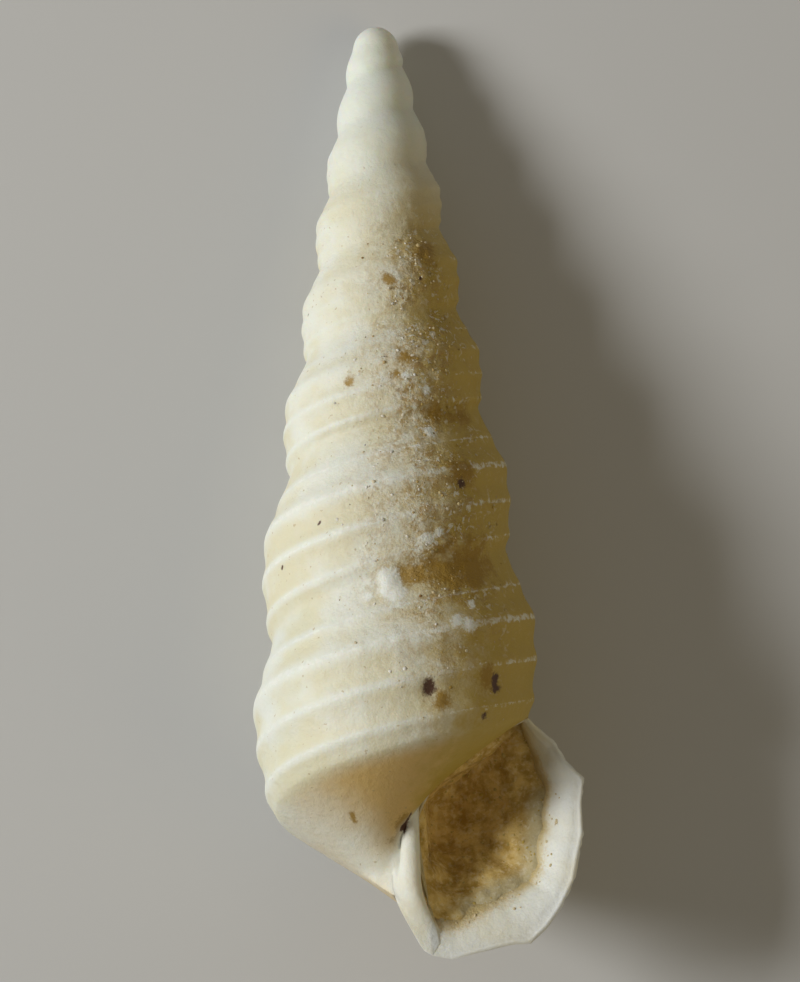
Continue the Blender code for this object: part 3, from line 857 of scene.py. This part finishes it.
class Finish:
    """A material being made: its Principled surface, and short ways to add the nodes that feed it."""

    def __init__(self, name, roughness, subsurface=0.0):
        self.material = bpy.data.materials.new(name)
        self.material.use_nodes = True
        self.nodes = self.material.node_tree.nodes
        self.surface = self.nodes["Principled BSDF"]
        self.surface.inputs["Roughness"].default_value = roughness
        self.surface.inputs["Subsurface Weight"].default_value = subsurface
        self.surface.inputs["Subsurface Radius"].default_value = GLOW_COLOURS
        self.surface.inputs["Subsurface Scale"].default_value = GLOW_DEPTH
        self.place = self.nodes.new("ShaderNodeTexCoord").outputs["Object"]

    def feed(self, socket, value):
        if isinstance(value, bpy.types.NodeSocket):
            self.material.node_tree.links.new(value, socket)
        elif isinstance(value, tuple):
            socket.default_value = (*value, 1)
        else:
            socket.default_value = value

    def attribute(self, name):
        node = self.nodes.new("ShaderNodeAttribute")
        node.attribute_name = name
        return node.outputs["Fac"]

    def noise(self, size, detail, roughness=0.55, distortion=0.0):
        """Clouds whose lumps are about this size."""
        node = self.nodes.new("ShaderNodeTexNoise")
        self.feed(node.inputs["Vector"], self.place)
        node.inputs["Scale"].default_value = 1 / size
        node.inputs["Detail"].default_value = detail
        node.inputs["Roughness"].default_value = roughness
        node.inputs["Distortion"].default_value = distortion
        return node.outputs["Fac"]

    def cells(self, size):
        """Cells of about this size, each of a random colour."""
        node = self.nodes.new("ShaderNodeTexVoronoi")
        self.feed(node.inputs["Vector"], self.place)
        node.inputs["Scale"].default_value = 1 / size
        return node.outputs["Color"]

    def math(self, operation, a, b, clamp=True):
        node = self.nodes.new("ShaderNodeMath")
        node.operation = operation
        node.use_clamp = clamp
        self.feed(node.inputs[0], a)
        self.feed(node.inputs[1], b)
        return node.outputs[0]

    def between(self, value, low, high):
        """0 where the value is below low, 1 above high, smooth between."""
        node = self.nodes.new("ShaderNodeMapRange")
        node.interpolation_type = "SMOOTHSTEP"
        self.feed(node.inputs["Value"], value)
        node.inputs["From Min"].default_value = low
        node.inputs["From Max"].default_value = high
        return node.outputs["Result"]

    def blend(self, share, a, b):
        node = self.nodes.new("ShaderNodeMix")
        node.data_type = "RGBA"
        self.feed(node.inputs["Factor"], share)
        self.feed(node.inputs[6], a)
        self.feed(node.inputs[7], b)
        return node.outputs[2]

    def lay(self, colour, over, amount, share):
        """The colour with another laid over it, by the amount and up to this share."""
        return self.blend(self.math("MULTIPLY", amount, share), colour, over)

    def choice(self, value, *stops):
        """A colour picked by the value, from (upper end, colour) stops."""
        node = self.nodes.new("ShaderNodeValToRGB")
        ramp = node.color_ramp
        ramp.interpolation = "CONSTANT"
        while len(ramp.elements) < len(stops):
            ramp.elements.new(0.5)
        start = 0.0
        for element, (end, colour) in zip(ramp.elements, stops):
            element.position = start
            element.color = (*colour, 1)
            start = end
        self.feed(node.inputs["Fac"], value)
        return node.outputs["Color"]

    def ragged(self, amount, mottle, by):
        """The amount, with its edge made uneven by clouds."""
        uneven = self.math("MULTIPLY", self.math("SUBTRACT", mottle, 0.5, False), by, False)
        return self.math("ADD", amount, uneven, False)

    def sheltered(self, mottle, low=-0.02, high=0.70):
        """1 on the right of the shell, where it is stained and where its painted shade lies, and 0 on the
        left.
        """
        return self.between(self.ragged(self.attribute("side"), mottle, 0.7), low, high)

    def bump(self, height, distance, strength, after=None):
        node = self.nodes.new("ShaderNodeBump")
        node.inputs["Strength"].default_value = strength
        node.inputs["Distance"].default_value = distance
        self.feed(node.inputs["Height"], height)
        if after:
            self.feed(node.inputs["Normal"], after)
        return node.outputs["Normal"]


PORCELAIN = (0.74, 0.78, 0.72)
WORN_CREAM = (0.79, 0.80, 0.70)
GROOVE_YELLOW = (0.73, 0.69, 0.49)
# Brown of the base, more of it to the right: partly its own colour, partly painted warm shade
BASE_BROWN = (0.72, 0.50, 0.18)
LIP_CREAM = (0.76, 0.72, 0.56)
LIP_WHITE = (0.79, 0.80, 0.72)
# Olive of the right side, away from the key lamp: partly stain, partly painted shade
STAIN_AND_SHADE_OLIVE = (0.50, 0.35, 0.045)
RUST = (0.35, 0.20, 0.012)
SILT_TAN = (0.55, 0.43, 0.18)
PIT_BROWN = (0.10, 0.045, 0.024)
CHALK_WHITE = (0.84, 0.85, 0.77)
GRIME = (0.60, 0.45, 0.17)
GOLDEN_SAND = (0.44, 0.28, 0.08)
SPECK_BROWN = (0.45, 0.33, 0.15)
DARK_SEDIMENT, LIGHT_SEDIMENT, PALE_SAND = (0.46, 0.29, 0.055), (0.80, 0.58, 0.20), (0.48, 0.41, 0.23)

# How rough the finishes are, how light spreads under their surface, and how deep their bumps look
SHELL_ROUGHNESS, SAND_ROUGHNESS, FLOOR_ROUGHNESS = 0.52, 0.85, 0.8
GLOW_COLOURS, GLOW_DEPTH = (1.0, 0.75, 0.45), 0.14 * MM
SHELL_GLOW, TIP_GLOW, STAIN_DULLS = 0.32, 0.68, 0.3
SEDIMENT_GLOW, GRAIN_GLOW = 0.1, 0.15
PITTED_DEPTH, GRITTY_DEPTH = 0.008 * MM, 0.014 * MM

# Sizes of the clouds and cells that colour and roughen the finishes
WIDE_CLOUD, SEDIMENT_MOTTLE, MOTTLE = 0.35 * MM, 0.08 * MM, 0.06 * MM
SMUDGE, FLECK, SPECK, POWDER, FINE = 0.04 * MM, 0.030 * MM, 0.024 * MM, 0.02 * MM, 0.014 * MM
SHELL_CELL, SEDIMENT_CELL, GRIT_BUMP = 0.015 * MM, 0.018 * MM, 0.022 * MM

SAND_TONES = (  # upper end of each tone, and its colour
    (0.30, (0.76, 0.73, 0.62)),
    (0.56, (0.66, 0.56, 0.36)),
    (0.68, (0.48, 0.34, 0.15)),
    (0.76, (0.56, 0.53, 0.46)),
    (0.80, (0.26, 0.14, 0.045)),
    (0.815, (0.13, 0.10, 0.07)),
    (1.00, (0.82, 0.79, 0.70)),
)


def aged_shell():
    """Worn cream shell: white tip and cords, yellow grooves, rusty stains, and olive to the right that is
    partly stain and partly painted shade.
    """
    made = Finish("aged_shell", SHELL_ROUGHNESS)
    crest, grit, stain = made.attribute("crest"), made.attribute("grit"), made.attribute("stain")
    chalk, pit, tip = made.attribute("chalk"), made.attribute("pit"), made.attribute("tip")
    cloud, mottle = made.noise(WIDE_CLOUD, 3), made.noise(MOTTLE, 5, 0.65)
    fine, flecks = made.noise(FINE, 4, 0.7), made.noise(FLECK, 3, 0.6, 0.6)
    glow = made.math("ADD", SHELL_GLOW, made.math("MULTIPLY", tip, TIP_GLOW))
    glow = made.math("SUBTRACT", glow, made.math("MULTIPLY", stain, STAIN_DULLS))
    made.feed(made.surface.inputs["Subsurface Weight"], glow)

    groove = made.math("MULTIPLY", made.math("SUBTRACT", 1.0, crest), made.between(cloud, 0.34, 0.62))
    colour = made.blend(groove, WORN_CREAM, GROOVE_YELLOW)
    colour = made.lay(colour, PORCELAIN, crest, 0.30)

    base, lip = made.attribute("base"), made.attribute("inside")
    # Painted warm shade, partly the base's own brown: the base turns brown towards the right, away from the
    # key lamp
    browner = made.sheltered(cloud, -1.25, -0.30)
    colour = made.blend(base, colour, made.blend(browner, WORN_CREAM, BASE_BROWN))

    grimy = made.math("MULTIPLY", grit, made.between(mottle, 0.40, 0.62))
    colour = made.lay(colour, GRIME, grimy, 0.6)
    speckle = made.choice(made.cells(SHELL_CELL), *SAND_TONES)
    speckled = made.math("MULTIPLY", grit, made.between(fine, 0.42, 0.58))
    colour = made.lay(colour, speckle, speckled, 0.6)

    # Painted shade, partly stain: olive laid over the right side of the shell, with less of it on the tip
    shade = made.sheltered(mottle)
    shade = made.math("MULTIPLY", shade, made.math("SUBTRACT", 1.0, made.math("MULTIPLY", tip, 0.6)))
    colour = made.lay(colour, STAIN_AND_SHADE_OLIVE, shade, 0.95)
    frosted = made.between(made.ragged(crest, flecks, 1.3), 0.78, 1.06)
    colour = made.lay(colour, CHALK_WHITE, frosted, 0.75)
    golden = made.math("MULTIPLY", grit, made.between(made.noise(SMUDGE, 5, 0.7, 0.8), 0.48, 0.62))
    colour = made.lay(colour, GOLDEN_SAND, golden, 0.85)
    specks = made.between(made.noise(SPECK, 2, 0.5), 0.69, 0.75)
    colour = made.lay(colour, SPECK_BROWN, specks, 0.6)
    chalked = made.math("MULTIPLY", grit, made.between(flecks, 0.57, 0.64))
    colour = made.lay(colour, CHALK_WHITE, chalked, 0.7)

    rusty = made.between(made.ragged(stain, fine, 1.5), 0.15, 0.85)
    colour = made.lay(colour, RUST, rusty, 0.9)
    colour = made.lay(colour, PORCELAIN, tip, 0.85)
    plain = made.math("SUBTRACT", lip, made.math("MULTIPLY", speckled, 0.8))
    colour = made.blend(plain, colour, made.blend(made.between(cloud, 0.3, 0.6), LIP_CREAM, LIP_WHITE))
    silty = made.between(made.ragged(made.attribute("silt"), mottle, 0.9), 0.10, 1.0)
    colour = made.lay(colour, SILT_TAN, silty, 0.9)
    colour = made.blend(made.between(made.ragged(chalk, fine, 1.6), 0.25, 0.75), colour, CHALK_WHITE)
    colour = made.blend(made.between(made.ragged(pit, fine, 1.1), 0.30, 0.75), colour, PIT_BROWN)
    made.feed(made.surface.inputs["Base Color"], colour)

    surface = made.bump(made.noise(SMUDGE, 6, 0.68), PITTED_DEPTH, 0.9)
    grains = made.math("MULTIPLY", grit, made.noise(GRIT_BUMP, 4, 0.7), False)
    surface = made.bump(grains, GRITTY_DEPTH, 0.8, surface)
    made.feed(made.surface.inputs["Normal"], surface)
    return made.material


def sandy_sediment():
    """Packed brown sand and silt, paler beside the outer lip."""
    made = Finish("sandy_sediment", SAND_ROUGHNESS, SEDIMENT_GLOW)
    pale = made.attribute("pale")
    mottle = made.noise(SEDIMENT_MOTTLE, 5, 0.65)
    colour = made.blend(made.between(mottle, 0.36, 0.64), DARK_SEDIMENT, LIGHT_SEDIMENT)
    colour = made.blend(made.between(made.ragged(pale, mottle, 1.0), 0.15, 1.0), colour, PALE_SAND)
    speckle = made.choice(made.cells(SEDIMENT_CELL), *SAND_TONES)
    colour = made.lay(colour, speckle, made.between(made.noise(POWDER, 3), 0.45, 0.6), 0.22)
    made.feed(made.surface.inputs["Base Color"], colour)
    made.feed(made.surface.inputs["Normal"], made.bump(made.noise(POWDER, 4, 0.7), PITTED_DEPTH, 0.7))
    return made.material


def sand_grains(name, warm):
    """Grains in the colours of sand, each by its own tone, and all of them more olive on the right, partly as
    stain and partly as painted shade.
    """
    made = Finish(name, SAND_ROUGHNESS, GRAIN_GLOW)
    colour = made.choice(made.attribute("tone"), *SAND_TONES)
    # Painted shade, partly stain: grains turn olive on the right as the shell does
    stained = made.sheltered(made.noise(MOTTLE, 3))
    colour = made.lay(colour, STAIN_AND_SHADE_OLIVE, stained, warm)
    made.feed(made.surface.inputs["Base Color"], colour)
    return made.material


def pale_floor():
    made = Finish("pale_floor", FLOOR_ROUGHNESS)
    made.feed(made.surface.inputs["Base Color"], FLOOR_GREY)
    return made.material


def dress(name, mesh, finish, solid=None):
    """Make a piece of the shell that rides on its body and, if named, takes the place of a solid."""
    piece = add_piece(name, mesh, finish)
    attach(piece, "root")
    if solid:
        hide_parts(solid)


shell, fill = shell_mesh(), fill_mesh()
close(shell)
close(fill)
wear(shell)
soften_corner(shell, fill)
laid = lay_down([shell, fill], shell)
paint_shell(shell, laid)
paint_sediment(fill, laid)
grains = sediment_grains(fill, laid)
dress("turret_shell", shell, aged_shell(), "shell")
dress("mouth_sediment", fill, sandy_sediment(), "sediment_fill")
dress("mouth_grains", grains, sand_grains("mouth_sand", MOUTH_STAIN_AND_SHADE))
dress("sand_crust", crust_mesh(laid), sand_grains("crust_sand", CRUST_STAIN_AND_SHADE))


def add_stage():
    mesh = bmesh.new()
    bmesh.ops.create_grid(mesh, x_segments=1, y_segments=1, size=FLOOR_SIZE)
    floor = add_piece("floor", mesh, pale_floor())


def add_light(name, place, size, power, colour):
    """A square lamp that points at the shell."""
    data = bpy.data.lights.new(name, "AREA")
    data.size = size
    data.energy = power
    data.color = colour
    light = bpy.data.objects.new(name, data)
    light.location = place
    light.rotation_euler = (Vector(LIGHTS_AIM) - Vector(place)).to_track_quat("-Z", "Y").to_euler()
    bpy.context.scene.collection.objects.link(light)


def add_camera():
    """A camera above the shell, a little to the side of its base, as far off as the picture asks."""
    data = bpy.data.cameras.new("camera")
    data.lens = LENS
    data.sensor_width = SENSOR
    data.clip_start = NEAREST_SEEN
    camera = bpy.data.objects.new("camera", data)
    turned = Matrix.Rotation(CAMERA_TILT, 4, "X") @ Matrix.Rotation(CAMERA_ROLL, 4, "Z")
    back = Matrix.Translation((0, 0, LENS / SENSOR * PICTURE_HEIGHT))
    camera.matrix_world = Matrix.Translation(CAMERA_AIM) @ turned @ back
    bpy.context.scene.collection.objects.link(camera)
    bpy.context.scene.camera = camera


def add_room():
    """The even light that comes from all round."""
    world = bpy.data.worlds.new("room")
    world.use_nodes = True
    background = world.node_tree.nodes["Background"]
    background.inputs["Color"].default_value = (*ROOM_COLOUR, 1)
    background.inputs["Strength"].default_value = ROOM_STRENGTH
    bpy.context.scene.world = world


add_stage()
add_light("key", KEY_FROM, KEY_SIZE, KEY_POWER, KEY_COLOUR)
add_light("fill", WARM_FROM, WARM_SIZE, WARM_POWER, WARM_COLOUR)
add_room()
add_camera()
bpy.context.scene.view_settings.view_transform = "Standard"
